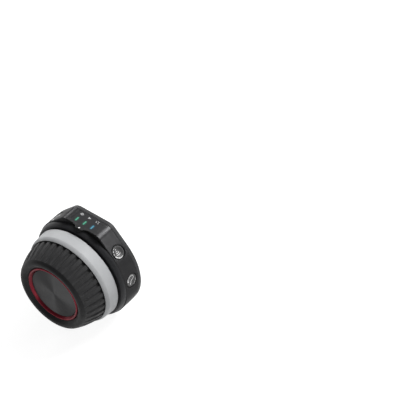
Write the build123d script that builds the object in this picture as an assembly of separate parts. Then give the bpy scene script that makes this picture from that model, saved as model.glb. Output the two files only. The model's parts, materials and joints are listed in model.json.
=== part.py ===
from build123d import *
import math
import os

# Wireless follow focus hand wheel: a ribbed knob and a white marking ring turn together on a
# short shaft in a flat round casing that carries the status lights, three buttons and a foot.
#
# Millimetres. The pieces are drawn about the wheel's axis, which is the Y axis: the knob faces -Y,
# y = 0 lies in the slit between the marking ring and the collar, +Z is the status window's side.
# Every piece is then stood on its foot, so that the origin is the mouth of the mounting socket.

os.makedirs("parts", exist_ok=True)

# ---- casing ----
CASE_R = 37.5            # round outside
CASE_TOP = 38.4          # height of the flat status face over the axis
CASE_CORNER_R = 8.0      # where the flat top turns into the 45 degree flanks
CASE_FRONT, CASE_REAR = 4.5, 17.3
WALL = 2.0
COVER_REAR = 19.9
FOOT_HALF = 11.0         # half width of the flat foot
FOOT_Z, FOOT_ROOT_Z = -37.5, -25.0
EDGE = 0.5               # broken edges of the casing
SEAM_IN, SEAM_LENGTH = 0.3, 0.7    # the shallow bevel of the casing's rear rim
COVER_INSET = 0.25       # the rear cover stands back from the casing's side
COVER_EDGE = 0.3
SEAL_IN, SEAL_OUT, SEAL_T = 1.7, 1.1, 0.6
LIP_FRONT, LIP_OUT, LIP_IN = 16.4, 2.1, 3.1    # the cover's lip inside the casing

# ---- index pointer ----
POINTER_HALF, POINTER_FOOT_HALF = 2.8, 5.8      # half width over the collar and at the casing
POINTER_TIP_HALF = 0.9
POINTER_BEND_Y, POINTER_FRONT_Z = 2.7, 36.8      # its top turns down here, to this height
POINTER_FLARE, POINTER_NECK_Y = (3.9, 4.0), 2.9    # where its sides curve in to the narrow part
POINTER_ROOT, POINTER_DEPTH = 0.7, 2.0
DOT_R, DOT_DEPTH, DOT_Y = 0.62, 0.5, 3.7

# ---- collar ----
COLLAR_FRONT = 1.0
COLLAR_R_FRONT, COLLAR_R_REAR = 35.8, 37.0
COLLAR_BULGE = 0.35
TUBE_R, TUBE_REAR = 9.5, 12.6
TUBE_STEP_R = 6.7        # shoulder between the two bearings

# ---- bearings, 10 x 15 x 4 ----
SHAFT_R, BEARING_R, BEARING_W = 5.0, 7.5, 4.0
FRONT_BEARING_Y, REAR_BEARING_Y = 1.4, 7.4
BALL_R, BALL_COUNT = 0.79, 12
RACE_GAP = 0.06          # ball to inner race
OUTER_RACE_IN, INNER_RACE_OUT = 6.75, 5.8
SHIELD_T, SHIELD_SET, SHIELD_GAP = 0.2, 0.3, 0.15
SPACER_R, SHIM_R = 5.9, 6.2

# ---- wheel ----
RING_BORE, RING_R = 32.2, 34.3
RING_REAR, RING_FRONT, RING_BEVEL = -0.3, -10.8, -8.3
RING_BEVEL_R, RING_LIP_R = 33.7, 32.55
RING_LIP_BULGE, RING_EDGE = 0.15, 0.4
KEEPER_T = 0.55          # the steel band let into the ring's bore
KEEPER_Y0, KEEPER_Y1 = -7.2, -3.2
RIM_R, RIM_IN = 32.15, 29.9
RIM_FRONT = -10.4
FLANGE_R, FLANGE_FRONT, FLANGE_REAR = 33.6, -0.15, 0.6
WEB_FRONT, WEB_REAR = -4.4, -1.9
KEY_HALF, KEY_LENGTH, KEY_R = 1.0, 2.2, 32.8
KEY_ROOM = 0.2
DAMPER_RADII, DAMPER_GAP = (20.0, 14.0), 0.05
MAGNET_R, MAGNET_T, MAGNET_Y = 1.5, 1.4, -5.2
MAGNET_ANGLES = range(0, 360, 60)
SHAFT_FLANGE_R, SHAFT_SHOULDER_R, SHAFT_BORE_R = 10.0, 6.0, 3.0
SHAFT_FLANGE_REAR, SHAFT_REAR = 0.4, 13.0
CLIP_Y0, CLIP_Y1, CLIP_IN, CLIP_OUT = 11.65, 12.45, 4.6, 6.3
CLIP_GAP_HALF = 1.3
ENCODER_Y0, ENCODER_Y1 = 11.5, 13.5
SLEEVE_REAR, SLEEVE_FRONT = -11.2, -25.6
BARREL_REAR_R, BARREL_MID_R, BARREL_FRONT_R = 31.9, 30.3, 27.5
BARREL_MID_Y = -18.6
SLEEVE_T, CORE_T = 2.2, 1.6
FLUTES, FLUTE_R = 36, 1.5
FLUTE_DEPTHS = (1.1, 1.15, 0.2)      # at the barrel's three stations: they run out at the front
CORE_FRONT, CORE_BACK_WALL = -24.0, -21.6
SKIRT_R, SKIRT_FRONT = 31.75, -11.6    # the core's rear collar, which stands on the hub's rim
DISC_R, DISC_REAR, DISC_FRONT = 18.6, -23.0, -24.6
DISC_EDGE, DISC_DISH, PIP_R = 0.3, 0.15, 0.5
TRIM_GAP, TRIM_ROLL = 0.1, 0.95
TRIM_SHOULDER, TRIM_CREST, TRIM_FALL = -25.2, -26.15, 0.2
BEZEL_BORE = 21.05
BEZEL_SLOPE = ((BEZEL_BORE, -25.3), (22.8, -26.95))    # from the red ring up to the crest
BEZEL_NOSE = (26.3, -27.15)
BEZEL_REAR = -25.7
BEZEL_TENON = ((24.7, BEZEL_REAR), (25.55, CORE_FRONT))

# ---- stops ----
TURN_LIMIT = 150.0       # degrees each way
STOP_RADIUS, STOP_PIN_R = 26.25, 1.8
GROOVE_IN, GROOVE_OUT, GROOVE_FLOOR = 24.1, 28.4, 3.3
STOP_PAD_DEG = 1.8
STOP_SLACK_DEG = 0.4

# ---- buttons ----
BUTTON_Y = 10.8
BUTTON_ANGLES = {"upper_right": 45.0, "lower_right": 10.0, "left": 135.0}
CAP_R, CAP_HOLE_R, CAP_FLANGE_R, CAP_RECESS_R = 4.5, 4.8, 5.3, 5.1
FLANGE_POCKET_R = 5.6    # room for the cap's flange behind the casing's skin
CAP_SINK = 0.3           # the cap's rim below the casing's surface
CAP_RECESS = 0.7         # depth of the ledge round the cap
CAP_RIM = 0.8            # flat rim round the cap's dish
CAP_DISH = 0.6
CAP_EDGE = 0.3
SEAT_PAD = 0.5           # the casing's wall is this much thicker there
SEAT_ROLL = 0.4         # the casing's edge rolls in round the button
FLANGE_UNDER, FLANGE_T = 0.55, 0.6     # the cap's flange below the casing's skin, more than its travel
STEM_R, STEM_END = 1.5, -4.4
SWITCH_TOP, SWITCH_BASE, SWITCH_HALF = -4.9, -7.2, 2.5
PLUNGER_R, PLUNGER_L = 1.4, 1.5
SWITCH_BOARD_W, SWITCH_BOARD_T = 9.0, 1.0
PLUNGER_ROOM = (0.1, 1.7)          # round the plunger, and the depth of its bore

# ---- status window ----
WINDOW_HALF, WINDOW_Y0, WINDOW_Y1 = 9.9, 6.3, 16.9
WINDOW_FLOOR, WINDOW_TOP = CASE_TOP - 1.0, CASE_TOP - 0.15
WINDOW_CORNER_R = 1.6
LIGHT_PITCH, LIGHT_Y = 6.4, 9.2
LIGHT_W, LIGHT_L = 0.9, 3.2
LIGHT_PLACES = {"left": -1, "middle": 0, "right": 1}
STATUS_BOARD_Z, STATUS_BOARD_T, STATUS_BOARD_HALF, STATUS_BOARD_REAR = 32.2, 1.0, 9.0, 14.5
LED_HALF, LED_H = 0.8, 0.8

# ---- electronics ----
BOARD_R, BOARD_FRONT, BOARD_REAR = 28.5, 14.9, 16.1
BOARD_POSTS = [(12.0, 21.0), (24.0, -6.0), (-12.0, 20.0)]
POST_R, SCREW_BOSS = 2.2, 1.6       # board posts; wall round a cover screw
PORT_TAB = (-34.0, -20.0, 6.0)     # the board's tab under the port: x from, x to, half width
RADIO_BOX = (12.0, 22.0, -2.0, 10.0)
RADIO_T, ENCODER_HALF, ENCODER_T = 1.8, 2.5, 0.9
DISPLAY_HALF = (14.0, 9.0)
DISPLAY_PANE = (29.0, 18.0)
DISPLAY_VIEW = (24.0, 13.0)
DISPLAY_PANE_T, DISPLAY_SET, DISPLAY_T = 0.8, 1.6, 2.2     # the pane, and the module behind it
PANE_CORNER_R, VIEW_CORNER_R, PANE_GAP = 2.5, 1.5, 0.05
RAISED_R, RAISED_REAR = 26.0, 23.4
RAISED_ROOT, RAISED_ROLL = 0.6, 1.0    # the fillet at the rise's root and its rolled edge
PORT_W, PORT_H = 8.94, 3.26
PORT_Y, PORT_MOUTH, PORT_END = BOARD_FRONT - PORT_H / 2, -36.9, -29.6
PORT_WALL, TONGUE_T, TONGUE_HALF = 0.3, 0.7, 3.35
PORT_HOLE, PORT_LEAD_IN = (9.4, 3.7), (12.6, 5.8)
CELL_FRONT, CELL_REAR = CASE_FRONT + WALL, 13.9
CELL_LOWER, CELL_LEFT = (-18.0, 18.0, -28.0, -13.5), (-25.0, -13.5, -12.5, 12.0)    # x from, to; z from, to

# ---- mounting ----
SOCKET_Y = 10.9
SOCKET_R = 3.175         # 1/4 inch thread, nominal radius
SOCKET_DEPTH = 7.0
INSERT_HALF, INSERT_DEPTH, INSERT_TOP = 6.0, 8.8, -29.5
SEAT_WALL = 3.0          # of the casing round the insert's sides

# ---- screws ----
COVER_SCREW_R = 32.0
COVER_SCREW_ANGLES = (68.0, 112.0, -28.0, 208.0)
COLLAR_SCREW_R = 17.0
COLLAR_SCREW_ANGLES = (45.0, 135.0, 225.0, 315.0)
COLLAR_SCREW_TIP = 2.3
KNOB_SCREW_R, HUB_SCREW_R = 12.0, 7.0
KNOB_SCREW_ANGLES, HUB_SCREW_ANGLES = (90.0, 210.0, 330.0), (30.0, 150.0, 270.0)
KNOB_POST_R, KNOB_HEAD_H, KNOB_SCREW_TIP = 3.0, 1.9, WEB_REAR - 0.3
HUB_HEAD_R, HUB_HEAD_H, HUB_SCREW_TIP = 1.9, 1.6, SHAFT_FLANGE_REAR - 0.2
HEX_R, HEX_DEPTH = 0.9, 0.8
CROSS_HALF, CROSS_REACH, CROSS_DEPTH = 0.25, 1.1, 0.6
SMALL_SCREW_R, SMALL_HEAD_R = 1.0, 2.0
BOARD_SCREW_R, BOARD_HEAD_R = 0.8, 1.7
KNOB_THREAD_R, KNOB_HEAD_R = 1.05, 2.1
SCREW_TIP = 10.0         # how deep the rear screws reach

STAND = Pos(0, -SOCKET_Y, -FOOT_Z)


# ---- helpers ----
def turned(*points):
    """Solid of revolution about the wheel's axis from a closed outline of (radius, y) points."""
    return revolve(make_face(Polyline(*points, close=True)), Axis.Y)


def ring(outer, inner, y0, y1):
    """Plain tube on the wheel's axis; an inner radius of 0 gives a disc."""
    return turned((inner, y0), (outer, y0), (outer, y1), (inner, y1))


def rod(radius, y0, y1, x=0.0, z=0.0):
    """Cylinder parallel to the wheel's axis."""
    return Pos(x, (y0 + y1) / 2, z) * Rot(90, 0, 0) * Cylinder(radius, abs(y1 - y0))


def block(x0, x1, y0, y1, z0, z1):
    """Box between two corners."""
    return Pos((x0 + x1) / 2, (y0 + y1) / 2, (z0 + z1) / 2) * Box(x1 - x0, y1 - y0, z1 - z0)


def polar(radius, angle):
    """(x, z) at this radius and angle round the wheel's axis; 0 is +X and 90 is up."""
    return radius * math.cos(math.radians(angle)), radius * math.sin(math.radians(angle))


def prism(sketch, y0, y1):
    """A sketch in (x, z) drawn out from y0 to y1."""
    return extrude(Plane.XZ.offset(-y1) * sketch, amount=y1 - y0)


def facing(angle, distance=CASE_R, y=BUTTON_Y):
    """Frame on the casing's side at this angle: its Z points outwards and its X along +Y."""
    out = Vector(*[math.cos(math.radians(angle)), 0, math.sin(math.radians(angle))])
    return Plane(origin=out * distance + Vector(0, y, 0), x_dir=(0, 1, 0), z_dir=out).location


def spun(*points):
    """Solid of revolution about Z from (radius, z) points, to be set in a facing() frame."""
    face = make_face(Polyline(*[(r, 0, z) for r, z in points], close=True))
    return revolve(face, Axis.Z)


def countersunk(radius, head_r, y_head, y_tip, x, z):
    """Flat headed screw with a cross recess; the head's face is at y_head."""
    way = 1 if y_tip > y_head else -1
    cone = head_r - radius
    body = turned((0, y_head), (head_r, y_head), (radius, y_head + way * cone), (radius, y_tip), (0, y_tip))
    arms = ((CROSS_HALF, CROSS_REACH), (CROSS_REACH, CROSS_HALF))
    slots = [block(-a, a, y_head - CROSS_DEPTH, y_head + CROSS_DEPTH, -b, b) for a, b in arms]
    return Pos(x, 0, z) * (body - slots)


def cheese(radius, head_r, y_head, head_h, y_tip, x, z):
    """Cap screw with a hexagon socket; the head's face is at y_head and the tip lies towards +Y."""
    body = turned(
        (0, y_head), (head_r, y_head), (head_r, y_head + head_h),
        (radius, y_head + head_h), (radius, y_tip), (0, y_tip),
    )
    socket = prism(RegularPolygon(HEX_R, 6), y_head - 0.1, y_head + HEX_DEPTH)
    return Pos(x, 0, z) * (body - socket)


def barrel_circle(insets=(0.0, 0.0, 0.0)):
    """Centre radius, centre y and size of the arc through the barrel's stations, less their insets."""
    stations = (SLEEVE_REAR, BARREL_MID_Y, SLEEVE_FRONT)
    radii = (BARREL_REAR_R, BARREL_MID_R, BARREL_FRONT_R)
    (y1, r1), (y2, r2), (y3, r3) = [(y, r - inset) for y, r, inset in zip(stations, radii, insets)]
    d = 2 * (y1 * (r2 - r3) + y2 * (r3 - r1) + y3 * (r1 - r2))
    s1, s2, s3 = y1**2 + r1**2, y2**2 + r2**2, y3**2 + r3**2
    centre_y = (s1 * (r2 - r3) + s2 * (r3 - r1) + s3 * (r1 - r2)) / d
    centre_r = (s1 * (y3 - y2) + s2 * (y1 - y3) + s3 * (y2 - y1)) / d
    return centre_r, centre_y, math.hypot(y1 - centre_y, r1 - centre_r)


def barrel(y, inset=0.0):
    """Radius of the knob's barrel curve at y, less an inset."""
    centre_r, centre_y, size = barrel_circle()
    return centre_r + math.sqrt(size**2 - (y - centre_y) ** 2) - inset


def barrel_arc(y0, y1, inset):
    """The barrel curve between two stations as an edge in (radius, y)."""
    return ThreePointArc(*[(barrel(y, inset), y) for y in (y0, (y0 + y1) / 2, y1)])


# ---- casing side ----
def case_outline(inset=0.0, foot=True):
    """The casing seen along the axis: round, with a raised flat top between 45 degree flanks."""
    r, top = CASE_R - inset, CASE_TOP - inset
    tangent = r * math.sqrt(0.5)
    corner = r * math.sqrt(2) - top
    block_top = make_face(
        Polyline((tangent, tangent), (corner, top), (-corner, top), (-tangent, tangent), (0, 0), close=True)
    )
    corners = block_top.vertices().sort_by(Axis.Y)[-2:]
    outline = fillet(corners, CASE_CORNER_R - inset) + Circle(r)
    if foot:
        half = FOOT_HALF - inset
        height = FOOT_ROOT_Z - FOOT_Z - inset
        outline += Pos(0, FOOT_ROOT_Z - height / 2) * Rectangle(2 * half, height)
    return outline


def edges_at(solid, y):
    """The edges that lie in the plane at y."""
    return solid.edges().filter_by(lambda e: all(abs(v.Y - y) < 1e-4 for v in e.vertices()))


def cover_bosses(radius, y0, y1):
    """One rod on each of the rear cover's screws."""
    return [rod(radius, y0, y1, *polar(COVER_SCREW_R, a)) for a in COVER_SCREW_ANGLES]


def pointer():
    """The index wedge that runs from the casing's front edge over the collar to the marking ring."""
    front, root, low = COLLAR_FRONT, CASE_FRONT + POINTER_ROOT, COLLAR_R_FRONT - POINTER_DEPTH
    side = Polyline((root, CASE_TOP), (POINTER_BEND_Y, CASE_TOP - 0.1), (front, POINTER_FRONT_Z),
                    (front, low), (root, low), close=True)
    wedge = extrude(Plane.YZ * make_face(side), amount=POINTER_FOOT_HALF, both=True)
    flare = ThreePointArc((POINTER_FOOT_HALF, CASE_FRONT), POINTER_FLARE, (POINTER_HALF, POINTER_NECK_Y))
    rest = Polyline(
        flare @ 1, (POINTER_TIP_HALF, front), (0, front), (0, root), (POINTER_FOOT_HALF, root), flare @ 0,
    )
    half = make_face(flare + rest)
    plan = Pos(0, 0, low) * (half + mirror(half, Plane.YZ))
    return (wedge & extrude(plan, amount=CASE_TOP - low)) - revolve(make_face(collar_side(0)), Axis.Y)


def casing_shell():
    """Open shell with a front wall; its rear rim has a long shallow bevel."""
    shell = prism(case_outline(), CASE_FRONT, CASE_REAR)
    shell = chamfer(edges_at(shell, CASE_FRONT), EDGE)
    rear_face = shell.faces().sort_by(Axis.Y)[-1]
    shell = chamfer(edges_at(shell, CASE_REAR), SEAM_IN, SEAM_LENGTH, reference=rear_face)
    return shell - prism(case_outline(WALL, foot=False), CASE_FRONT + WALL, CASE_REAR + 1)


def casing_fixings():
    """Seat of the threaded insert and the screw posts, inside the casing's walls."""
    floor = CASE_FRONT + WALL
    half, depth = INSERT_HALF + SEAT_WALL, SOCKET_Y + INSERT_DEPTH / 2 + 1
    fixings = [block(-half, half, CASE_FRONT, depth, FOOT_Z + 1, INSERT_TOP)]
    fixings += cover_bosses(SMALL_SCREW_R + SCREW_BOSS, floor, LIP_FRONT)
    fixings += [rod(POST_R, floor, BOARD_FRONT, x, z) for x, z in BOARD_POSTS]
    room = prism(case_outline(WALL / 2, foot=False), CASE_FRONT, CASE_REAR)
    return [piece & room for piece in fixings]


def button_seat(angle):
    """What one button adds to the casing and takes from it: a thicker wall, then its stepped hole."""
    frame = facing(angle)
    wall = frame * Pos(0, 0, -WALL) * Cylinder(FLANGE_POCKET_R, 2 * SEAT_PAD)
    hole = frame * Pos(0, 0, -1) * Cylinder(CAP_HOLE_R, 4.0)
    recess = frame * Pos(0, 0, 1.5 - CAP_RECESS) * Cylinder(CAP_RECESS_R, 3.0)
    roll = frame * Cone(CAP_RECESS_R, CAP_RECESS_R + 2 * SEAT_ROLL, 2 * SEAT_ROLL)
    pocket = frame * Pos(0, 0, -WALL - SEAT_PAD - 1) * Cylinder(FLANGE_POCKET_R, 2.0)
    return wall, hole + recess + roll + pocket


def body_casing():
    """The casing, cut for the window, the lights, the buttons, the port and the socket insert."""
    shell = casing_shell() + casing_fixings()
    for angle in BUTTON_ANGLES.values():
        wall, hole = button_seat(angle)
        shell = shell + wall - hole
    shell -= window_panel(0.0, WINDOW_FLOOR, CASE_TOP + 1)
    shell -= [light_bar(i, WINDOW_FLOOR - WALL, CASE_TOP) for i in LIGHT_PLACES.values()]
    shell -= ring(TUBE_R + 0.1, 0, 0, CASE_FRONT + WALL + 1)
    shell -= [countersunk_hole(a) for a in COLLAR_SCREW_ANGLES]
    shell -= cover_bosses(SMALL_SCREW_R, SCREW_TIP - 1, LIP_FRONT + 1)
    shell -= [rod(BOARD_SCREW_R, SCREW_TIP - 1, BOARD_FRONT + 1, x, z) for x, z in BOARD_POSTS]
    shell -= insert_blank() + gasket_loop()
    shell -= port_slot(*PORT_HOLE, -39.0, -33.0) + port_slot(*PORT_LEAD_IN, -39.0, PORT_MOUTH)
    return shell + pointer() - dot()


def window_panel(gap, z0, z1):
    """Rounded panel in the flat top."""
    half, y0, y1 = WINDOW_HALF - gap, WINDOW_Y0 + gap, WINDOW_Y1 - gap
    plan = Pos(0, (y0 + y1) / 2) * RectangleRounded(2 * half, y1 - y0, WINDOW_CORNER_R)
    return extrude(Pos(0, 0, z0) * plan, amount=z1 - z0)


def light_bar(place, z0, z1):
    """Blank of one status light: place -1, 0 or 1."""
    x = place * LIGHT_PITCH
    return block(x - LIGHT_W / 2, x + LIGHT_W / 2, LIGHT_Y - LIGHT_L / 2, LIGHT_Y + LIGHT_L / 2, z0, z1)


def dot():
    """White index dot let into the pointer's top."""
    return Pos(0, DOT_Y, CASE_TOP - DOT_DEPTH / 2) * Cylinder(DOT_R, DOT_DEPTH)


def countersunk_hole(angle):
    """Screw hole through the casing's front wall into the collar."""
    x, z = polar(COLLAR_SCREW_R, angle)
    y, tip = CASE_FRONT + WALL, COLLAR_SCREW_TIP - 0.1
    head, shank = SMALL_HEAD_R, SMALL_SCREW_R
    return Pos(x, 0, z) * turned((0, y), (head, y), (shank, y - head + shank), (shank, tip), (0, tip))


def insert_blank():
    """Outer shape of the threaded insert."""
    half = INSERT_DEPTH / 2
    return block(-INSERT_HALF, INSERT_HALF, SOCKET_Y - half, SOCKET_Y + half, FOOT_Z, INSERT_TOP)


def gasket_loop():
    """Seal that follows the casing's rear rim."""
    loop = case_outline(SEAL_OUT, foot=False) - case_outline(SEAL_IN, foot=False)
    return prism(loop, CASE_REAR - SEAL_T, CASE_REAR)


def port_slot(width, height, x0, x1):
    """Slot with round ends through the left side, wide along Z."""
    plan = Plane.YZ * Pos(PORT_Y, 0) * RectangleRounded(height, width, height / 2 - 0.01)
    return Pos(x0, 0, 0) * extrude(plan, amount=x1 - x0)


def collar_side(bore):
    """Closed outline of the collar in (radius, y): slightly bulged and wider at the casing."""
    middle = (COLLAR_FRONT + CASE_FRONT) / 2
    bulge = (COLLAR_R_FRONT + COLLAR_R_REAR) / 2 + COLLAR_BULGE
    outer = ThreePointArc((COLLAR_R_FRONT, COLLAR_FRONT), (bulge, middle), (COLLAR_R_REAR, CASE_FRONT))
    return outer + Polyline(outer @ 1, (bore, CASE_FRONT), (bore, COLLAR_FRONT), outer @ 0)


def front_collar():
    """Black bearing housing in front of the casing, with the annular groove of the turning stop."""
    front_seat, rear_seat = FRONT_BEARING_Y + BEARING_W, REAR_BEARING_Y
    collar = revolve(make_face(collar_side(BEARING_R)), Axis.Y) + ring(TUBE_R, BEARING_R, CASE_FRONT, TUBE_REAR)
    collar += ring(BEARING_R, TUBE_STEP_R, front_seat, rear_seat)
    collar += block(-FOOT_HALF, FOOT_HALF, COLLAR_FRONT, CASE_FRONT, FOOT_Z, FOOT_ROOT_Z)
    collar -= ring(GROOVE_OUT, GROOVE_IN, 0, GROOVE_FLOOR)
    return collar - [countersunk_hole(a) for a in COLLAR_SCREW_ANGLES]


def stop_sector(y0, y1, start, span):
    """Part of the stop groove's ring between two angles."""
    whole = ring(GROOVE_OUT, GROOVE_IN, y0, y1)
    reach = 60
    points = [(0, 0)] + [polar(reach, start + span * k / 4) for k in range(5)]
    return whole & prism(make_face(Polyline(*points, close=True)), y0 - 1, y1 + 1)


def stop_half_angle():
    """Half the angle that the stop block and its pads may take up."""
    pin = math.degrees(math.asin(STOP_PIN_R / STOP_RADIUS))
    return 180 - TURN_LIMIT - pin - STOP_SLACK_DEG


def stop_pieces():
    """The block at the bottom of the groove, and a rubber pad at each of its ends."""
    half = stop_half_angle()
    inner = half - STOP_PAD_DEG
    block_piece = stop_sector(COLLAR_FRONT, GROOVE_FLOOR, 270 - inner, 2 * inner)
    pads = [stop_sector(COLLAR_FRONT, GROOVE_FLOOR, a, STOP_PAD_DEG) for a in (270 - half, 270 + inner)]
    return block_piece, pads


def rear_cover():
    """Rear shell with a lip, a raised round middle and the display's opening."""
    plate = prism(case_outline(COVER_INSET), CASE_REAR, COVER_REAR)
    plate = chamfer(edges_at(plate, COVER_REAR), COVER_EDGE)
    rise = turned(
        (0, COVER_REAR - RAISED_ROOT), (RAISED_R + RAISED_ROOT, COVER_REAR - RAISED_ROOT),
        (RAISED_R, COVER_REAR + RAISED_ROOT), (RAISED_R - RAISED_ROOT, RAISED_REAR - RAISED_ROLL),
        (RAISED_R - RAISED_ROOT - RAISED_ROLL, RAISED_REAR), (0, RAISED_REAR),
    )
    lip = prism(case_outline(LIP_OUT, foot=False) - case_outline(LIP_IN, foot=False), LIP_FRONT, CASE_REAR)
    boss = SMALL_SCREW_R + SCREW_BOSS
    cover = plate + rise + (lip - cover_bosses(boss + 0.2, LIP_FRONT - 1, CASE_REAR))
    cover += cover_bosses(boss, LIP_FRONT, CASE_REAR + 0.2)
    cover -= ring(RAISED_R - WALL, 0, CASE_REAR - 0.1, RAISED_REAR - DISPLAY_SET)
    cover -= prism(RectangleRounded(*DISPLAY_VIEW, VIEW_CORNER_R), RAISED_REAR - DISPLAY_T, RAISED_REAR + 1)
    pane = RectangleRounded(*DISPLAY_PANE, PANE_CORNER_R)
    cover -= prism(pane, RAISED_REAR - DISPLAY_PANE_T, RAISED_REAR + 1)
    tip, head, shank = LIP_FRONT - 0.1, SMALL_HEAD_R + 0.1, SMALL_SCREW_R + 0.05
    hole = turned((0, COVER_REAR), (head, COVER_REAR), (shank, COVER_REAR - shank), (shank, tip), (0, tip))
    places = [polar(COVER_SCREW_R, a) for a in COVER_SCREW_ANGLES]
    return cover - [Pos(x, 0, z) * hole for x, z in places]


def main_board():
    """Round circuit board with a tab under the charging port."""
    tab_out, tab_in, tab_half = PORT_TAB
    board = ring(BOARD_R, 0, BOARD_FRONT, BOARD_REAR)
    board += block(tab_out, tab_in, BOARD_FRONT, BOARD_REAR, -tab_half, tab_half)
    return board - [rod(BOARD_SCREW_R + 0.1, BOARD_FRONT - 1, BOARD_REAR + 1, x, z) for x, z in BOARD_POSTS]


def board_screw(x, z):
    """Screw that holds the main board, entered from the rear."""
    face, tip = BOARD_REAR + 1.0, SCREW_TIP
    return Pos(x, 0, z) * turned(
        (0, face), (BOARD_HEAD_R, face), (BOARD_HEAD_R, BOARD_REAR), (BOARD_SCREW_R, BOARD_REAR),
        (BOARD_SCREW_R, tip), (0, tip),
    )


def status_led(place):
    """Emitter under one status light: place -1, 0 or 1."""
    x, z = place * LIGHT_PITCH, STATUS_BOARD_Z
    return block(x - LED_HALF, x + LED_HALF, LIGHT_Y - LED_HALF, LIGHT_Y + LED_HALF, z, z + LED_H)


def display_module():
    """Display behind the raised middle's opening."""
    half_x, half_z = DISPLAY_HALF
    rear = RAISED_REAR - DISPLAY_SET
    return block(-half_x, half_x, rear - DISPLAY_T, rear, -half_z, half_z)


def display_window():
    """Clear pane over the display, set in the raised middle."""
    width, height = DISPLAY_PANE
    pane = RectangleRounded(width - 2 * PANE_GAP, height - 2 * PANE_GAP, PANE_CORNER_R - PANE_GAP)
    return prism(pane, RAISED_REAR - DISPLAY_PANE_T, RAISED_REAR - PANE_GAP)


def charge_port():
    """Receptacle shell and its tongue."""
    inner, bottom = 2 * PORT_WALL, PORT_END - 0.8
    shell = port_slot(PORT_W, PORT_H, PORT_MOUTH, PORT_END)
    shell -= port_slot(PORT_W - inner, PORT_H - inner, PORT_MOUTH - 1, bottom)
    half = TONGUE_T / 2
    tongue = block(PORT_MOUTH + 1, bottom, PORT_Y - half, PORT_Y + half, -TONGUE_HALF, TONGUE_HALF)
    return shell, tongue


def mount_insert():
    """Steel block with the blind 1/4 inch thread."""
    hole = Pos(0, SOCKET_Y, FOOT_Z + SOCKET_DEPTH / 2) * Cylinder(SOCKET_R, SOCKET_DEPTH)
    return insert_blank() - hole


def bearing(y):
    """Deep groove bearing from y to y + its width: outer race with shields, inner race, balls."""
    middle, end = y + BEARING_W / 2, y + BEARING_W
    pitch = (SHAFT_R + BEARING_R) / 2
    circle = Plane.XY * Pos(pitch, middle) * Circle(BALL_R)
    inner_track = revolve(Plane.XY * Pos(pitch, middle) * Circle(BALL_R + RACE_GAP), Axis.Y)
    outer = ring(BEARING_R, OUTER_RACE_IN, y, end) - revolve(circle, Axis.Y)
    shield = ring(OUTER_RACE_IN + SHIELD_GAP, INNER_RACE_OUT + SHIELD_GAP, 0, SHIELD_T)
    outer += [Pos(0, place, 0) * shield for place in (y + SHIELD_SET, end - SHIELD_SET - SHIELD_T)]
    inner = ring(INNER_RACE_OUT, SHAFT_R, y, end) - inner_track
    balls = [
        Pos(x, middle, z) * Sphere(BALL_R)
        for x, z in (polar(pitch, 360 * k / BALL_COUNT) for k in range(BALL_COUNT))
    ]
    return outer, inner, balls


# ---- buttons ----
def button_cap():
    """Dished round cap with a retaining flange and a stem, in its facing() frame."""
    top, flange, underside = -CAP_SINK, -WALL - FLANGE_UNDER, -WALL - FLANGE_UNDER - FLANGE_T
    cap = spun(
        (0, top), (CAP_R - CAP_EDGE, top), (CAP_R, top - CAP_EDGE), (CAP_R, flange), (CAP_FLANGE_R, flange),
        (CAP_FLANGE_R, underside), (STEM_R, underside), (STEM_R, STEM_END), (0, STEM_END),
    )
    bowl = ((CAP_R - CAP_RIM) ** 2 + CAP_DISH**2) / (2 * CAP_DISH)
    return cap - Pos(0, 0, top - CAP_DISH + bowl) * Sphere(bowl)


def switch_plunger():
    """The moving nib of the switch under the cap."""
    end = STEM_END - PLUNGER_L
    return spun((0, STEM_END), (PLUNGER_R, STEM_END), (PLUNGER_R, end), (0, end))


def switch_body():
    """Push switch housing with the bore that its plunger slides in."""
    side = 2 * SWITCH_HALF
    housing = Pos(0, 0, (SWITCH_TOP + SWITCH_BASE) / 2) * Box(side, side, SWITCH_TOP - SWITCH_BASE)
    gap, depth = PLUNGER_ROOM
    return housing - Pos(0, 0, SWITCH_TOP - depth / 2) * Cylinder(PLUNGER_R + gap, depth)


def switch_board():
    """Small board behind a switch; it stands on the casing's front wall."""
    front = CASE_FRONT + WALL - BUTTON_Y
    rear = STATUS_BOARD_REAR - BUTTON_Y
    place = Pos((front + rear) / 2, 0, SWITCH_BASE - SWITCH_BOARD_T / 2)
    return place * Box(rear - front, SWITCH_BOARD_W, SWITCH_BOARD_T)


# ---- wheel side ----
def wheel_shaft():
    """Flanged steel shaft with a circlip groove and a pocket for the encoder magnet."""
    shaft = turned(
        (0, WEB_FRONT), (SHAFT_BORE_R, WEB_FRONT), (SHAFT_BORE_R, WEB_REAR), (SHAFT_FLANGE_R, WEB_REAR),
        (SHAFT_FLANGE_R, SHAFT_FLANGE_REAR), (SHAFT_SHOULDER_R, SHAFT_FLANGE_REAR),
        (SHAFT_SHOULDER_R, FRONT_BEARING_Y), (SHAFT_R, FRONT_BEARING_Y), (SHAFT_R, CLIP_Y0), (CLIP_IN, CLIP_Y0),
        (CLIP_IN, CLIP_Y1), (SHAFT_R, CLIP_Y1), (SHAFT_R, SHAFT_REAR), (SHAFT_BORE_R, SHAFT_REAR),
        (SHAFT_BORE_R, ENCODER_Y0), (0, ENCODER_Y0),
    )
    return shaft - [rod(SMALL_SCREW_R, WEB_FRONT, 2, *polar(HUB_SCREW_R, a)) for a in HUB_SCREW_ANGLES]


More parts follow.
